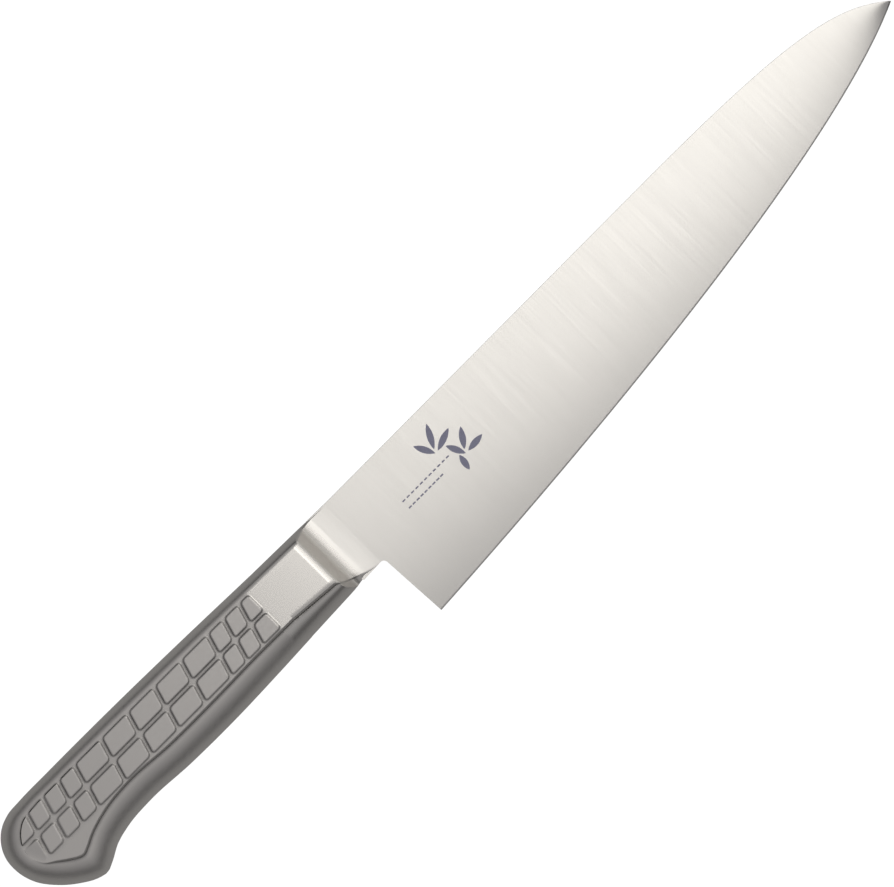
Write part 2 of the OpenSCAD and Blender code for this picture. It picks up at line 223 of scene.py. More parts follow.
def neck_half(x):
    """Half thickness of the neck: shoulder, straight slope, hollow, foot, blade."""
    if x <= SHOULDER_X:
        return HALF
    if x < SLOPE_X:
        return HALF - SHOULDER_RADIUS + math.sqrt(SHOULDER_RADIUS ** 2 - (x - SHOULDER_X) ** 2)
    if x < HOLLOW_X:
        return SLOPE_Z - (x - SLOPE_X) * math.tan(NECK_ANGLE)
    if x < TURN_X:
        reach = TURN_X + HOLLOW_RADIUS * math.sin(FOOT_ANGLE) - x
        return TURN_Z + HOLLOW_RADIUS * math.cos(FOOT_ANGLE) - math.sqrt(HOLLOW_RADIUS ** 2 - reach ** 2)
    if x < FOOT_X:
        return BLADE_HALF + FOOT_RADIUS - math.sqrt(FOOT_RADIUS ** 2 - (FOOT_X - x) ** 2)
    return BLADE_HALF


def hermite(k, t):
    """Smooth curve through the rows of k at t, from 0 to len(k) - 1, paced by the outline."""
    gap = np.linalg.norm(np.diff(k[:, :2], axis=0), axis=1)
    slope = np.diff(k, axis=0) / gap[:, None]
    tangent = np.empty_like(k)
    tangent[0], tangent[-1] = slope[0], slope[-1]
    a, b = gap[:-1, None], gap[1:, None]
    tangent[1:-1] = (slope[:-1] * b + slope[1:] * a) / (a + b)
    i = np.clip(t.astype(int), 0, len(k) - 2)
    s = (t - i)[:, None]
    h, u = gap[i][:, None], 1 - s
    return ((1 + 2 * s) * u * u * k[i] + s * u * u * h * tangent[i]
            + s * s * (3 - 2 * s) * k[i + 1] - s * s * u * h * tangent[i + 1])


def inward(t, column):
    """Unit vectors towards the inside of the handle, square to x at both ends."""
    last = len(RIBS) - 1
    ahead = hermite(RIBS, np.clip(t + 1e-3, 0, last))
    behind = hermite(RIBS, np.clip(t - 1e-3, 0, last))
    d = (ahead - behind)[:, column:column + 2]
    d /= np.linalg.norm(d, axis=1)[:, None]
    turn = np.stack([-d[:, 1], d[:, 0]], 1)
    turn[t <= 0] = (0, -1)
    turn[t >= last] = (0, 1)
    return turn


def ground(above, full, height=HEEL_HEIGHT):
    """Half thickness of a face ground convex over its height."""
    u = 1 - np.clip(above / (GRIND_SHARE * height), 0, 1)
    return GROUND_HALF + (full - GROUND_HALF) * (1 - u * u)


def smooth_step(t):
    t = np.clip(t, 0, 1)
    return t * t * (3 - 2 * t)


# --- meshes ----------------------------------------------------------------------------
def make(name, points, faces, material, body="root", node=None, sharp=None):
    """A mesh piece from points in the knife's lines, in millimetres."""
    mesh = bpy.data.meshes.new(name)
    co = np.asarray(points, float) * MM + np.array(shift)
    mesh.from_pydata(co.tolist(), [], [list(f) for f in faces])
    mesh.validate()
    mesh.update()
    mesh.polygons.foreach_set("use_smooth", np.ones(len(mesh.polygons), bool))
    flow = mesh.uv_layers.new(name="flow")
    corner = np.empty(len(mesh.loops), int)
    mesh.loops.foreach_get("vertex_index", corner)
    flow.data.foreach_set("uv", co[corner][:, :2].ravel())
    if sharp is not None:
        mesh.set_sharp_from_angle(angle=math.radians(sharp))
    piece = bpy.data.objects.new(name, mesh)
    bpy.context.scene.collection.objects.link(piece)
    mesh.materials.append(material)
    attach(piece, body)
    if node:
        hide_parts(node)
    return piece


def tube_faces(rings, size, closed=True):
    """Quads between successive rings of equal size, in rows of points."""
    i, j = np.meshgrid(np.arange(rings - 1), np.arange(size if closed else size - 1), indexing="ij")
    a = i * size + j
    b = i * size + (j + 1) % size
    return np.stack([a, b, b + size, a + size], -1).reshape(-1, 4).tolist()


def cap_faces(start, size, flip):
    """Closes a ring whose point j faces point size - 1 - j."""
    far = start + size - 1
    quads = [[start + j, start + j + 1, far - 1 - j, far - j] for j in range(size // 2 - 1)]
    return [q if flip else q[::-1] for q in quads]


def skin(rings):
    """Points and faces of a closed solid through rings of equal length."""
    size = len(rings[0])
    faces = [f[::-1] for f in tube_faces(len(rings), size)]
    faces += cap_faces(0, size, True) + cap_faces((len(rings) - 1) * size, size, False)
    return np.concatenate(rings), faces


def mirrored(points, faces):
    """The same solid on the other side of the mid-plane."""
    points = np.array(points) * (1, 1, -1)
    return points, [f[::-1] for f in faces]


# --- materials -------------------------------------------------------------------------
POLISH = (0.91, 0.882, 0.83)
POLISH_ROUGH = 0.27
POLISH_ZONE = TILE_FRONT - 0.9, TILE_FRONT + 0.6
POLISH_SIDEWAYS = 0.85, 0.45
POLISH_UPWARD = 0.55, 0.78
BLAST = (0.79, 0.763, 0.725)
SATIN = (0.84, 0.82, 0.775)
# Painted shade for grooves and creases: its near-black colour, the reach of the occlusion it follows in mm,
# and the openness range over which it sets in
PAINTED_SHADE = (0.03, 0.028, 0.026)
PAINTED_SHADE_REACH = 1.5
PAINTED_SHADE_OPENNESS = 0.97, 0.8
CLOUD_SCALE = 45.0
GRIT_SCALE = 2600.0


def new_material(name):
    """A material with its node tree, its shader and the place on the object as a socket."""
    mat = bpy.data.materials.new(name)
    mat.use_nodes = True
    tree = mat.node_tree
    place = tree.nodes.new("ShaderNodeTexCoord").outputs["Object"]
    return mat, tree, tree.nodes["Principled BSDF"], place


def feed(tree, socket, value):
    """Sets a socket to a number or a color, or links it to another socket."""
    if isinstance(value, (float, tuple)):
        socket.default_value = value
    else:
        tree.links.new(value, socket)


def noise(tree, place, scale, detail, roughness=0.5):
    node = tree.nodes.new("ShaderNodeTexNoise")
    node.inputs["Scale"].default_value = scale
    node.inputs["Detail"].default_value = detail
    node.inputs["Roughness"].default_value = roughness
    tree.links.new(place, node.inputs["Vector"])
    return node.outputs["Fac"]


def ramp(tree, value, start, end, low=0.0, high=1.0, kind="SMOOTHSTEP"):
    """Takes a value from the range start to end to the range low to high."""
    node = tree.nodes.new("ShaderNodeMapRange")
    node.interpolation_type = kind
    node.inputs["From Min"].default_value = start
    node.inputs["From Max"].default_value = end
    node.inputs["To Min"].default_value = low
    node.inputs["To Max"].default_value = high
    tree.links.new(value, node.inputs["Value"])
    return node.outputs["Result"]


def maths(tree, operation, *terms):
    node = tree.nodes.new("ShaderNodeMath")
    node.operation = operation
    for socket, term in zip(node.inputs, terms):
        feed(tree, socket, term)
    return node.outputs[0]


def blend(tree, factor, first, second, kind="RGBA"):
    node = tree.nodes.new("ShaderNodeMix")
    node.data_type = kind
    feed(tree, node.inputs["Factor"], factor)
    feed(tree, node.inputs["A"], first)
    feed(tree, node.inputs["B"], second)
    return node.outputs["Result"]


def bumped(tree, height, distance, strength=0.5, under=None):
    """Normal of a surface with a relief, on top of another relief where under is given."""
    node = tree.nodes.new("ShaderNodeBump")
    node.inputs["Strength"].default_value = strength
    node.inputs["Distance"].default_value = distance
    tree.links.new(height, node.inputs["Height"])
    if under:
        tree.links.new(under, node.inputs["Normal"])
    return node.outputs["Normal"]


def parts_of(tree, vector):
    node = tree.nodes.new("ShaderNodeSeparateXYZ")
    tree.links.new(vector, node.inputs[0])
    return node.outputs


def polish_share(tree, place):
    """One ahead of the tiles on the broad faces, nought on the blasted rest."""
    normal = parts_of(tree, tree.nodes.new("ShaderNodeNewGeometry").outputs["Normal"])
    start, end = (x * MM + shift.x for x in POLISH_ZONE)
    zone = ramp(tree, parts_of(tree, place)["X"], start, end)
    broad = ramp(tree, maths(tree, "ABSOLUTE", normal["Y"]), *POLISH_SIDEWAYS)
    gentle = ramp(tree, maths(tree, "ABSOLUTE", normal["Z"]), *POLISH_UPWARD)
    return maths(tree, "MULTIPLY", zone, maths(tree, "MULTIPLY", broad, gentle))


def painted_shade_share(tree):
    """How much painted shade a spot in a groove or a crease gets, from nought to one, taken from ambient
    occlusion.
    """
    crevice = tree.nodes.new("ShaderNodeAmbientOcclusion")
    crevice.samples = 12
    crevice.only_local = True
    crevice.inputs["Distance"].default_value = PAINTED_SHADE_REACH * MM
    return ramp(tree, crevice.outputs["AO"], *PAINTED_SHADE_OPENNESS)


def steel(name, color, rough, grain, depth, rough_swing, tint_swing, blast=0.0, spread=0.0,
          neck_polish=False):
    """Steel with a grain, whose noise has the scale grain along x, y and z per metre.

    depth and blast are the heights of the grain and of the blasted grit. spread draws
    reflections out along x, across grinding lines that run along y. neck_polish gives
    the part ahead of the tiles a polish, and paints shade into grooves and creases by darkening their
    colour.
    """
    mat, tree, shader, place = new_material(name)
    shader.inputs["Metallic"].default_value = 1.0
    stretch = tree.nodes.new("ShaderNodeMapping")
    stretch.inputs["Scale"].default_value = grain
    tree.links.new(place, stretch.inputs["Vector"])
    lines = noise(tree, stretch.outputs["Vector"], 1.0, 4.0, 0.6)
    cloud = noise(tree, place, CLOUD_SCALE, 3.0)

    gloss = ramp(tree, lines, 0.3, 0.7, rough - rough_swing, rough + rough_swing, "LINEAR")
    dull = tuple(c * (1 - tint_swing) for c in color) + (1.0,)
    bright = tuple(c * (1 + tint_swing) for c in color) + (1.0,)
    fine = maths(tree, "MULTIPLY_ADD", lines, 0.6, -0.1)
    tint = blend(tree, maths(tree, "ADD", fine, maths(tree, "MULTIPLY", cloud, 0.6)), dull, bright)
    if neck_polish:
        share = polish_share(tree, place)
        gloss = blend(tree, share, gloss, POLISH_ROUGH, "FLOAT")
        tint = blend(tree, share, tint, (*POLISH, 1.0))
        # painted shade: ambient occlusion darkens the colour in grooves and creases
        tint = blend(tree, painted_shade_share(tree), tint, (*PAINTED_SHADE, 1.0))
    tree.links.new(gloss, shader.inputs["Roughness"])
    tree.links.new(tint, shader.inputs["Base Color"])

    relief = bumped(tree, lines, depth)
    if blast:
        relief = bumped(tree, noise(tree, place, GRIT_SCALE, 2.0), blast, under=relief)
    tree.links.new(relief, shader.inputs["Normal"])
    if spread:
        shader.inputs["Anisotropic"].default_value = spread
        flow = tree.nodes.new("ShaderNodeTangent")
        flow.direction_type = "UV_MAP"
        flow.uv_map = "flow"
        tree.links.new(flow.outputs["Tangent"], shader.inputs["Tangent"])
    return mat


blade_steel = steel("blade_satin", SATIN, 0.325, (2500, 50, 50), 0.5e-6, 0.02, 0.02, spread=0.8)
bolster_steel = steel("bolster_polish", BLAST, 0.46, (700, 300, 300), 0.4e-6, 0.03, 0.03, neck_polish=True)
shell_steel = steel("handle_blasted", BLAST, 0.46, (900, 900, 900), 1.2e-6, 0.04, 0.05, 2.5e-6,
                    neck_polish=True)
seam_steel = steel("seam_ground", BLAST, 0.45, (300, 3000, 3000), 1.2e-6, 0.05, 0.05)


def matt_ink():
    """Dark etched metal of the mark."""
    mat, tree, shader, place = new_material("etched_mark")
    shader.inputs["Metallic"].default_value = 0.55
    shader.inputs["Roughness"].default_value = 0.5
    speck = noise(tree, place, 2500.0, 3.0)
    tint = blend(tree, speck, (0.3, 0.3, 0.4, 1.0), (0.46, 0.46, 0.6, 1.0))
    tree.links.new(tint, shader.inputs["Base Color"])
    tree.links.new(bumped(tree, speck, 2e-6, 1.0), shader.inputs["Normal"])
    return mat


# --- blade -----------------------------------------------------------------------------
def blade_at(x, above, height=HEEL_HEIGHT):
    """Half thickness of the blade at a distance above the cutting edge.

    The grind sets in between the bolster's front and the heel.
    """
    full = BLADE_HALF + (TIP_HALF - BLADE_HALF) * np.maximum(x, 0) / TIP_X
    share = np.clip((x - FRONT_X) / (ROOT_X - FRONT_X), 0, 1)
    at_bevel = ground(np.array(BEVEL_WIDTH), full, height)
    bevel = LAND_HALF + (at_bevel - LAND_HALF) * above / BEVEL_WIDTH
    return np.where(above < BEVEL_WIDTH, bevel, full + (ground(above, full, height) - full) * share)


SPINE_ROUND = 0.08
FACE_ROWS = np.concatenate([[0.0, 0.01, 0.03], np.linspace(0.06, 1, 26)])


def blade_ring(x, low, high, edge_y):
    """One upright ring of the blade, with its spine's corners rounded."""
    height = high - low
    bevel = min(BEVEL_WIDTH, 0.3 * height)
    corner = min(SPINE_ROUND, 0.2 * height)
    rise = np.concatenate([[0, bevel * 0.5], bevel + (height - corner - bevel) * FACE_ROWS])
    z = blade_at(np.full(len(rise), x), low + rise - edge_y, high - edge_y)
    y = low + rise
    turn = np.radians([30, 60, 90])
    depth = min(corner, z[-1] * 0.8)
    y = np.concatenate([y, high - corner + corner * np.sin(turn)])
    z = np.concatenate([z, z[-1] - depth + depth * np.cos(turn)])
    face = np.stack([np.full(len(y), x), y, z], 1)
    return np.concatenate([face, face[::-1] * (1, 1, -1)])


TANG_X = FRONT_X - 14.5
TANG_LOW, TANG_HIGH = -17.5, -3.5
TANG_CORNER = 2.0
TANG_RAMP = 2.5


def make_blade():
    tang = [
        (TANG_X, TANG_LOW + TANG_CORNER, TANG_HIGH - TANG_CORNER),
        (TANG_X + TANG_CORNER, TANG_LOW, TANG_HIGH),
        (FRONT_X - TANG_RAMP, TANG_LOW, TANG_HIGH),
        (FRONT_X, float(belly_y(FRONT_X)), float(spine_y(FRONT_X))),
    ]
    rings = [blade_ring(x, low, high, -HEEL_HEIGHT) for x, low, high in tang]
    notch_y = float(belly_y(ROOT_X)) - NOTCH_RADIUS
    for a in np.radians(np.linspace(0, 90, 10)):
        x = ROOT_X + NOTCH_RADIUS * math.sin(a)
        rings.append(blade_ring(x, notch_y + NOTCH_RADIUS * math.cos(a), float(spine_y(x)), -HEEL_HEIGHT))
    end = np.array([ROOT_X + NOTCH_RADIUS, notch_y])
    heel = np.array(EDGE_CURVE[0])
    for s in np.linspace(0, 1, 12)[1:-1]:
        x, y = end + (heel - end) * s
        rings.append(blade_ring(x, y, float(spine_y(x)), -HEEL_HEIGHT))
    for x, y in bezier(EDGE_CURVE, np.linspace(0, 1, 181)):
        rings.append(blade_ring(x, y, float(spine_y(x)), y))
    points, faces = skin(rings)
    return make("ground_blade", points, faces, blade_steel, node="blade", sharp=8)


# --- neck and bolster --------------------------------------------------------------------
SPINE_INSET = 3.2
SPINE_NARROWING = 0.8
SPINE_SQUARE = RIBS[0, 5]
BELLY_SQUARE = RIBS[-1, 5]
NECK_ROWS = 26
RIM_ROWS = 9
FACET_DROP = 0.3
FACET_SLOPE = math.tan(math.radians(20))
FACET_EDGE = 0.5
FACET_RUN = 3
FLAT_ROWS = 12
RIM_ROUND = 1.6


def rim_angles(floor_z, height, power, rows):
    """Angles round a rounded wall, from the height floor_z to its top."""
    start = math.asin(min(floor_z / height, 1) ** (power / 2))
    return np.linspace(start, math.pi / 2, rows)


def neck_settle(x, y):
    """How far the neck's faces sink to meet the thinner lower blade."""
    return BLADE_HALF - blade_at(min(x, 0), y + HEEL_HEIGHT)


def neck_section(x, floor_z=SEAM):
    """Points of a section from the belly to the spine: y, z."""
    n = neck_half(x)
    top = float(spine_y(x))
    flat_top = top - SPINE_INSET * (n / HALF) ** SPINE_NARROWING
    low = float(belly_y(x))
    crease = float(crease_y(x))
    start = min(x, CREASE_START)
    band = float(crease_y(start) - belly_y(start))
    drop = FACET_DROP * min(1, n - BLADE_HALF)
    full = HALF - PANEL_RISE * RIBS[-1, 4]
    roll = min(full, n - drop)
    edge = PANEL_EDGE + (FACET_EDGE - PANEL_EDGE) * min(max((x - CREASE_START) / FACET_RUN, 0), 1)

    q = rim_angles(floor_z, max(roll, floor_z), BELLY_SQUARE, NECK_ROWS)
    y = low + (crease - low) * (1 - np.cos(q) ** (2 / BELLY_SQUARE))
    under = 1 - np.clip((y - low) / band, 0, 1)
    swell = full * (1 - under ** BELLY_SQUARE) ** (1 / BELLY_SQUARE)
    facet = n - drop - FACET_SLOPE * (crease - y)
    z = swell if x < SHOULDER_X else np.minimum(swell, facet)
    belly = np.stack([y, np.maximum(z, floor_z)], 1)

    e = np.linspace(0, 1, RIM_ROWS)[1:]
    rim = np.stack([crease + edge * e, roll + (n - roll) * (1 - (1 - e) ** RIM_ROUND)], 1)

    q = rim_angles(floor_z, n, SPINE_SQUARE, NECK_ROWS)[::-1]
    spine = np.stack([flat_top + (top - flat_top) * np.cos(q) ** (2 / SPINE_SQUARE),
                      n * np.sin(q) ** (2 / SPINE_SQUARE)], 1)
    flat_y = np.linspace(rim[-1, 0], spine[0, 0], FLAT_ROWS)[1:-1]
    flat = np.stack([flat_y, np.full(len(flat_y), n)], 1)
    section = np.concatenate([belly, rim, flat, spine])
    section[:, 1] = np.maximum(section[:, 1] - neck_settle(x, section[:, 0]), SEAM / 2)
    return section


def neck_ring(x):
    s = neck_section(x)
    face = np.column_stack([np.full(len(s), x), s])
    return np.concatenate([face, face[::-1] * (1, 1, -1)])


def make_bolster():
    xs = np.concatenate([np.linspace(BOLSTER_X, SHOULDER_X, 30)[:-1], np.linspace(SHOULDER_X, FRONT_X, 76)])
    points, faces = skin([neck_ring(x) for x in xs])
    return make("polished_bolster", points, faces, bolster_steel, node="bolster",
                sharp=35)


def make_ring_weld():
    points, faces = skin([neck_ring(x) for x in np.linspace(RING_X, BOLSTER_X, 8)])
    return make("ground_ring_weld", points, faces, bolster_steel, node="bolster_ring_weld",
                sharp=35)


WELD_PROUD = 0.001
WELD_DEPTH = 0.1
WELD_END = FOOT_X - 0.05


def make_neck_weld(side, node):
    rings = []
    for x in np.linspace(FRONT_X, WELD_END, 60):
        s = neck_section(x, BLADE_HALF)
        on_blade = blade_at(x, s[:, 0] + HEEL_HEIGHT)
        s[:, 1] = np.maximum(s[:, 1], on_blade + WELD_PROUD)
        face = np.column_stack([np.full(len(s), x), s])
        under = face[::-1].copy()
        under[:, 2] = on_blade[::-1] - WELD_DEPTH
        rings.append(np.concatenate([face, under]))
    points, faces = skin(rings)
    if side < 0:
        points, faces = mirrored(points, faces)
    return make("blended_" + node, points, faces, blade_steel, node=node, sharp=35)


# --- handle shells -------------------------------------------------------------------------
def tile_height(x, y, middle, height, left, right, left_lean, right_lean, rear_corner, fade):
    """Height of one embossed tile: a rounded slanted box with sloping flanks.

    fade is the length over which a tile rises from its rear end.
    """
    up = y - middle
    l = left + up * math.tan(left_lean)
    r = right + up * math.tan(right_lean)
    half_w = (r - l) / 2
    px = x - (l + r) / 2
    qx = np.abs(px)
    qy = np.abs(up)
    corner = np.where((px < 0) & (up > 0), rear_corner, TILE_CORNER)
    dx = qx - (half_w - corner)
    dy = qy - (height / 2 - corner)
    outside = np.hypot(np.maximum(dx, 0), np.maximum(dy, 0)) + np.minimum(np.maximum(dx, dy), 0) - corner
    rise = smooth_step((x - l) / fade) if fade else 1
    return rise * smooth_step(0.5 - outside / TILE_FLANK)


def tiles(x, y):
    """Height of the embossed rows over the flat face."""
    z = np.zeros_like(x)
    for row, (middle, drift, height, long_start, rear_pitch, rear_end) in enumerate(TILE_ROWS):
        long_end = long_start + LONG_TILES * LONG_PITCH
        grooves = [long_start - i * rear_pitch for i in range(REAR_SHORT, 0, -1)]
        grooves += [long_start + i * LONG_PITCH for i in range(LONG_TILES + 1)]
        grooves += [long_end + i * FRONT_PITCH for i in range(1, FRONT_SHORT + 1)]
        rear_lean, rear_shift, rear_corner, rear_fade = REAR_TILES[row]
        rear_shape, shape = (rear_lean, rear_corner, rear_fade), (TILE_LEAN, TILE_CORNER, 0)
        ends = [rear_end + rear_shift - TILE_GAP / 2] + grooves + [TILE_FRONT + TILE_GAP / 2]
        for i in range(len(ends) - 1):
            left, right = ends[i] + TILE_GAP / 2, ends[i + 1] - TILE_GAP / 2
            lean, corner, fade = rear_shape if i == 0 else shape
            front_lean = 0 if i == len(ends) - 2 else TILE_LEAN
            own_middle = middle + drift * ((left + right) / 2 - TILE_DATUM)
            near = (x > left - TILE_REACH) & (x < right + TILE_REACH)
            one = tile_height(x[near], y[near], own_middle, height, left, right,
                              lean, front_lean, corner, fade)
            z[near] = np.maximum(z[near], one)
    return TILE_RISE * z


WALL_ROWS = 20
EDGE_ROWS = 9
INNER_WALL_ROWS = 8
INNER_EDGE_ROWS = 3
RUNGS = 560
ACROSS = 92
LEAST_EDGE = 0.2
# Rungs lie closer together over the rearmost share of the flat face
REAR_SHARE = 0.15
REAR_CROWDING = 1.8


def shell_rows(t, inset, wall_rows, edge_rows):
    """Rows of points from the outline to the flat face at each station t, set in by inset."""
    r = hermite(RIBS, t)
    power = r[:, 5][:, None]
    share = np.clip(r[:, 4], 0, 2)[:, None]
    turn = inward(t, 2)
    s = r[:, 0:2] + inset * inward(t, 0)
    p = r[:, 2:4] + inset / 3 * turn
    roll = HALF - inset - PANEL_RISE * share
    start = np.arcsin((SEAM / roll) ** (power / 2))
    k = np.linspace(0, 1, wall_rows)[None, :]
    q = start * (1 - k) + math.pi / 2 * k
    away = np.cos(q) ** (2 / power)
    wall = np.empty((len(t), wall_rows, 3))
    wall[:, :, 0] = p[:, :1] + (s[:, :1] - p[:, :1]) * away
    wall[:, :, 1] = p[:, 1:] + (s[:, 1:] - p[:, 1:]) * away
    wall[:, :, 2] = roll * np.sin(q) ** (2 / power)
    e = np.linspace(0, 1, edge_rows + 1)[1:][None, :]
    width = LEAST_EDGE + (PANEL_EDGE - LEAST_EDGE) * np.minimum(share, 1)
    rim = np.empty((len(t), edge_rows, 3))
    rim[:, :, 0] = p[:, :1] + turn[:, :1] * width * e
    rim[:, :, 1] = p[:, 1:] + turn[:, 1:] * width * e
    rim[:, :, 2] = roll + (HALF - inset - roll) * (1 - (1 - e) ** RIM_ROUND)
    return np.concatenate([wall, rim], 1)


def shell_stations():
    """Stations of the ribs in pairs, so that each pair's flat edges have the same x."""
    dense = np.linspace(0, len(RIBS) - 1, 12001)
    edge = shell_rows(dense, 0.0, 2, 1)[:, -1, 0]
    rear = int(np.argmin(edge))
    s = np.linspace(0, 1, RUNGS)
    span = edge[0] - edge[rear]
    crowded = 1 - REAR_SHARE * ((1 - s) / REAR_SHARE) ** REAR_CROWDING
    x = edge[0] - span * np.where(s < 1 - REAR_SHARE, s, crowded)
    x[-1] = edge[rear]
    order = np.argsort(edge[:rear + 1])
    upper = np.interp(x, edge[:rear + 1][order], dense[:rear + 1][order])
    order = np.argsort(edge[rear:])
    lower = np.interp(x, edge[rear:][order], dense[rear:][order])
    upper[0], lower[0] = 0, len(RIBS) - 1
    return np.concatenate([upper, lower[:-1][::-1]])


def shell_solid():
    """Points and faces of one pressed half, outside and inside."""
    t = shell_stations()
    outer = shell_rows(t, 0.0, WALL_ROWS, EDGE_ROWS)
    inner = shell_rows(t, SHEET, INNER_WALL_ROWS, INNER_EDGE_ROWS)
    n, m = outer.shape[1], inner.shape[1]
    count = len(t)
    end = count - 1
    points = [outer.reshape(-1, 3), inner.reshape(-1, 3)]
    base_in = count * n
    faces = []

    def strip(first, size, flip):
        quads = tube_faces(count, size, closed=False)
        quads = [[first + v for v in q] for q in quads]
        faces.extend(q[::-1] if flip else q for q in quads)

    strip(0, n, True)
    strip(base_in, m, False)
    for i in range(end):
        a, b = i * n, base_in + i * m
        faces.append([a, a + n, b + m, b])
    # flat face: rungs from the spine's side to the belly's side
    pairs = end // 2
    upper = outer[:pairs, -1]
    lower = outer[end:end - pairs:-1, -1]
    v = np.linspace(0, 1, ACROSS + 1)[1:-1]
    flat = upper[:, None, :] * (1 - v)[None, :, None] + lower[:, None, :] * v[None, :, None]
    flat[:, :, 2] = HALF + tiles(flat[:, :, 0], flat[:, :, 1])
    base_flat = base_in + count * m
    points.append(flat.reshape(-1, 3))
    ids = np.empty((pairs, ACROSS + 1), int)
    ids[:, 1:-1] = base_flat + np.arange(pairs * (ACROSS - 1)).reshape(pairs, ACROSS - 1)
    ids[:, 0] = np.arange(pairs) * n + n - 1
    ids[:, -1] = (end - np.arange(pairs)) * n + n - 1
    quads = np.stack([ids[:-1, :-1], ids[:-1, 1:], ids[1:, 1:], ids[1:, :-1]], -1).reshape(-1, 4)
    faces.extend(quads[:, ::-1].tolist())
    middle = pairs * n + n - 1
    last = ids[pairs - 1]
    faces.extend([int(last[j + 1]), int(last[j]), middle] for j in range(ACROSS))
    # inside of the flat face
    for i in range(pairs):
        a, b = base_in + i * m + m - 1, base_in + (end - i) * m + m - 1
        faces.append([a, a + m, b - m, b] if i + 1 < end - i - 1 else [a, a + m, b])
    # open front: wall ends and the lip of the flat face
    front_a = [base_in + j for j in range(m)]
    front_b = [base_in + end * m + j for j in range(m)]
    rim = [int(v) for v in ids[0]]
    outer_a = list(range(n))
    outer_b = [end * n + j for j in range(n)]
    ring = outer_a[:-1] + rim + outer_b[:-1][::-1]
    faces.append(ring + front_b + front_a[::-1])
    return np.concatenate(points), faces


def make_shells():
    points, faces = shell_solid()
    for side, node in ((1, "handle_shell_right"), (-1, "handle_shell_left")):
        p, f = (points, faces) if side > 0 else mirrored(points, faces)
        make("pressed_" + node, p, f, shell_steel, node=node, sharp=60)


def make_seam():
    t = shell_stations()[::2]
    r = hermite(RIBS, t)
    turn = inward(t, 0)
    rings = []
    for i in range(len(t)):
        s, d = r[i, :2], turn[i]
        ring = [(*s, z) for z in (-SEAM, -SEAM / 3, SEAM / 3, SEAM)]
        ring += [(*(s + d * SHEET), z) for z in (SEAM, SEAM / 3, -SEAM / 3, -SEAM)]
        rings.append(np.array(ring))
    points, faces = skin(rings)
    faces = [f[::-1] for f in faces]
    return make("ground_seam_weld", points, faces, seam_steel, node="handle_seam_weld",
                sharp=40)


# --- etched mark -----------------------------------------------------------------------------
INK_HEIGHT = 0.015
LEAF_WIDTH = 1.9
DASH_HEIGHT = 0.42
DASH_START = 13.4
# Leaves of the sprig: foot x, y, length, angle
LEAVES = [
    (30, -11, 7.5, 62),
    (30.5, -12, 7, 20),
    (29.5, -12, 6.5, 118),
    (36, -17, 6.5, 55),
    (36.5, -18, 6, 5),
    (35.5, -18, 6, 115),
    (33, -22, 5, 80),
]
# Rows of dashes: y, number of dashes, pitch, share of the pitch that a dash fills
DASH_ROWS = [(-15.3, 11, 1.72, 0.62), (-17.8, 9, 1.55, 0.72)]


def make_mark():
    """A generic mark: a sprig of leaves beside two rows of short dashes."""
    points, faces = [], []

    def patch(outline):
        first = len(points)
        for x, y in outline:
            points.append((x, y, float(blade_at(x, y + HEEL_HEIGHT)) + INK_HEIGHT))
        faces.append(list(range(first, first + len(outline))))

    for x, y, length, angle in LEAVES:
        along = np.array([math.cos(math.radians(angle)), math.sin(math.radians(angle))])
        across = np.array([-along[1], along[0]])
        side = [(s * length, LEAF_WIDTH / 2 * math.sin(math.pi * s) ** 0.8) for s in np.linspace(0, 1, 13)]
        around = side + [(u, -v) for u, v in side[::-1]][1:-1]
        patch([(x, y) + u * along + v * across for u, v in around])
    for y, count, pitch, share in DASH_ROWS:
        for i in range(count):
            left = DASH_START + i * pitch
            right = left + share * pitch
            patch([(left, y), (right, y), (right, y + DASH_HEIGHT), (left, y + DASH_HEIGHT)])
    return make("etched_mark", points, faces, matt_ink())


make_blade()
make_bolster()
make_ring_weld()
make_neck_weld(1, "neck_weld_right")
make_neck_weld(-1, "neck_weld_left")
make_shells()
make_seam()
make_mark()


# --- floor, light and camera --------------------------------------------------------------------
BOX_LOW, BOX_HIGH = (-0.06, -0.07), (0.24, 0.16)
FAR_BOX_END = 1.6
BOX_Z = 0.8
BOX_RADIANCE = 1.5
FAR_RADIANCE = 1.1
SIDE_RADIANCE = 0.45
ROOM_LOW, ROOM_HIGH = 0.06, 0.31
ROOM_HEIGHTS = 0.25, 0.85
FLOOR_MIRRORED = 0.18
VIEW_WIDTH = 0.2491
VIEW_TURN = math.radians(-45.2)
VIEW_OFFSET = -0.00276, 0.00855


def make_floor():
    size = 3.0
    mesh = bpy.data.meshes.new("floor")
    corners = [(-size, -size, 0), (size, -size, 0), (size, size, 0), (-size, size, 0)]
    mesh.from_pydata(corners, [], [(0, 1, 2, 3)])
    floor = bpy.data.objects.new("floor", mesh)
    bpy.context.scene.collection.objects.link(floor)
    mat, tree, shader, _ = new_material("pale_floor")
    shader.inputs["Base Color"].default_value = (0.25, 0.25, 0.25, 1)
    shader.inputs["Roughness"].default_value = 0.9
    shader.inputs["Specular IOR Level"].default_value = 0.1
    shader.inputs["Emission Color"].default_value = (1, 1, 1, 1)
    seen = tree.nodes.new("ShaderNodeLightPath").outputs["Is Camera Ray"]
    glow = ramp(tree, seen, 0.0, 1.0, FLOOR_MIRRORED, 1.0, "LINEAR")
    tree.links.new(glow, shader.inputs["Emission Strength"])
    mesh.materials.append(mat)


def make_panel(name, place, turn, size, radiance):
    """A flat rectangular light of even brightness."""
    data = bpy.data.lights.new(name, "AREA")
    data.shape = "RECTANGLE"
    data.size, data.size_y = size
    data.energy = radiance * math.pi * data.size * data.size_y
    data.color = (1, 0.985, 0.965)
    light = bpy.data.objects.new(name, data)
    light.location = place
    light.rotation_euler = turn
    light.visible_camera = False
    bpy.context.scene.collection.objects.link(light)


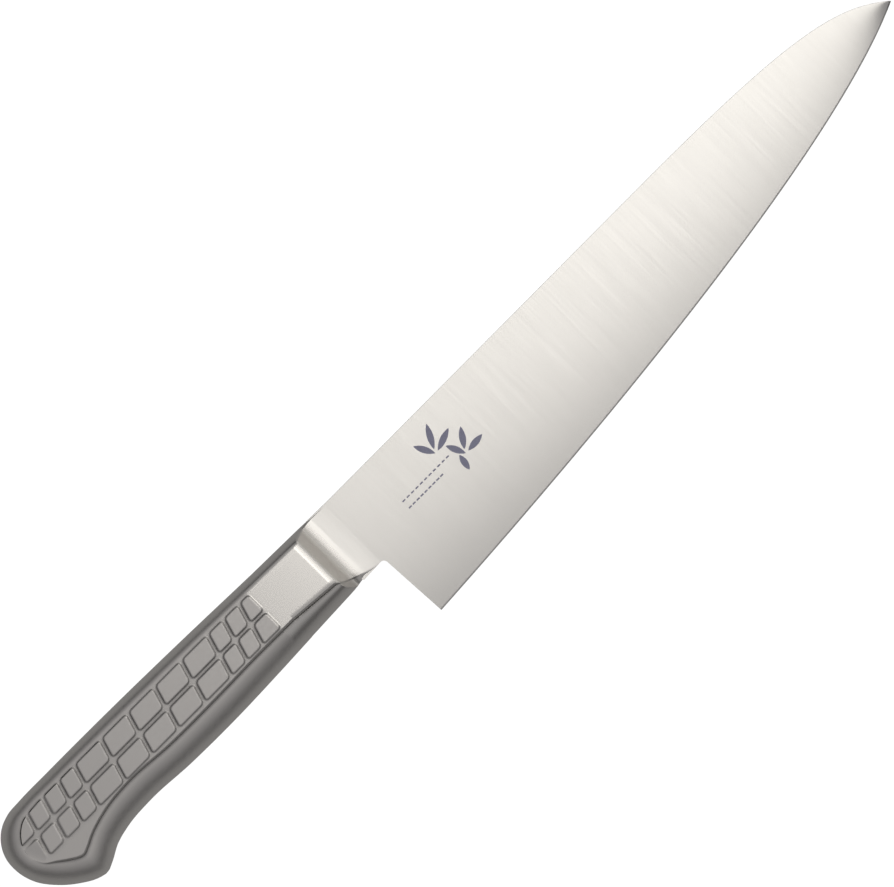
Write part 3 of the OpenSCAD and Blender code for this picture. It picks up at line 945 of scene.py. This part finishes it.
def make_lights():
    """A soft box over the knife, a fainter one beyond its tip, and a side panel behind that."""
    middle_y = (BOX_LOW[1] + BOX_HIGH[1]) / 2
    deep = BOX_HIGH[1] - BOX_LOW[1]
    for name, start, end, radiance in (("soft_box", BOX_LOW[0], BOX_HIGH[0], BOX_RADIANCE),
                                       ("far_box", BOX_HIGH[0], FAR_BOX_END, FAR_RADIANCE)):
        make_panel(name, ((start + end) / 2, middle_y, BOX_Z), (0, 0, 0), (end - start, deep), radiance)
    make_panel("side_panel", (FAR_BOX_END, middle_y, BOX_Z / 2), (0, math.radians(90), 0), (BOX_Z, 1.8),
               SIDE_RADIANCE)


def make_world():
    """A pale room for the camera and a dim one, lighter overhead, for the steel to mirror."""
    world = bpy.data.worlds.new("studio")
    bpy.context.scene.world = world
    world.use_nodes = True
    tree = world.node_tree
    mirrored_room = tree.nodes["Background"]
    mirrored_room.inputs["Color"].default_value = (0.98, 0.97, 1.0, 1)
    upward = parts_of(tree, tree.nodes.new("ShaderNodeTexCoord").outputs["Generated"])["Z"]
    strength = ramp(tree, upward, *ROOM_HEIGHTS, ROOM_LOW, ROOM_HIGH)
    tree.links.new(strength, mirrored_room.inputs["Strength"])
    pale = tree.nodes.new("ShaderNodeBackground")
    pale.inputs["Color"].default_value = (1, 1, 1, 1)
    mix = tree.nodes.new("ShaderNodeMixShader")
    tree.links.new(tree.nodes.new("ShaderNodeLightPath").outputs["Is Camera Ray"], mix.inputs["Fac"])
    tree.links.new(mirrored_room.outputs[0], mix.inputs[1])
    tree.links.new(pale.outputs[0], mix.inputs[2])
    tree.links.new(mix.outputs[0], tree.nodes["World Output"].inputs["Surface"])


def make_camera():
    """A long lens straight above the blade, turned so that the tip points up to the right."""
    data = bpy.data.cameras.new("camera")
    data.lens = 300
    data.sensor_width = 36
    data.clip_end = 20
    distance = VIEW_WIDTH * data.lens / data.sensor_width
    middle = (cad_box[0] + cad_box[1]) / 2
    camera = bpy.data.objects.new("camera", data)
    above = shift.z + BLADE_HALF * MM + distance
    camera.location = (middle.x + VIEW_OFFSET[0], middle.y + VIEW_OFFSET[1], above)
    camera.rotation_euler = (0, 0, VIEW_TURN)
    bpy.context.scene.collection.objects.link(camera)
    bpy.context.scene.camera = camera


make_floor()
make_world()
make_lights()
make_camera()
bpy.context.scene.view_settings.view_transform = "Standard"
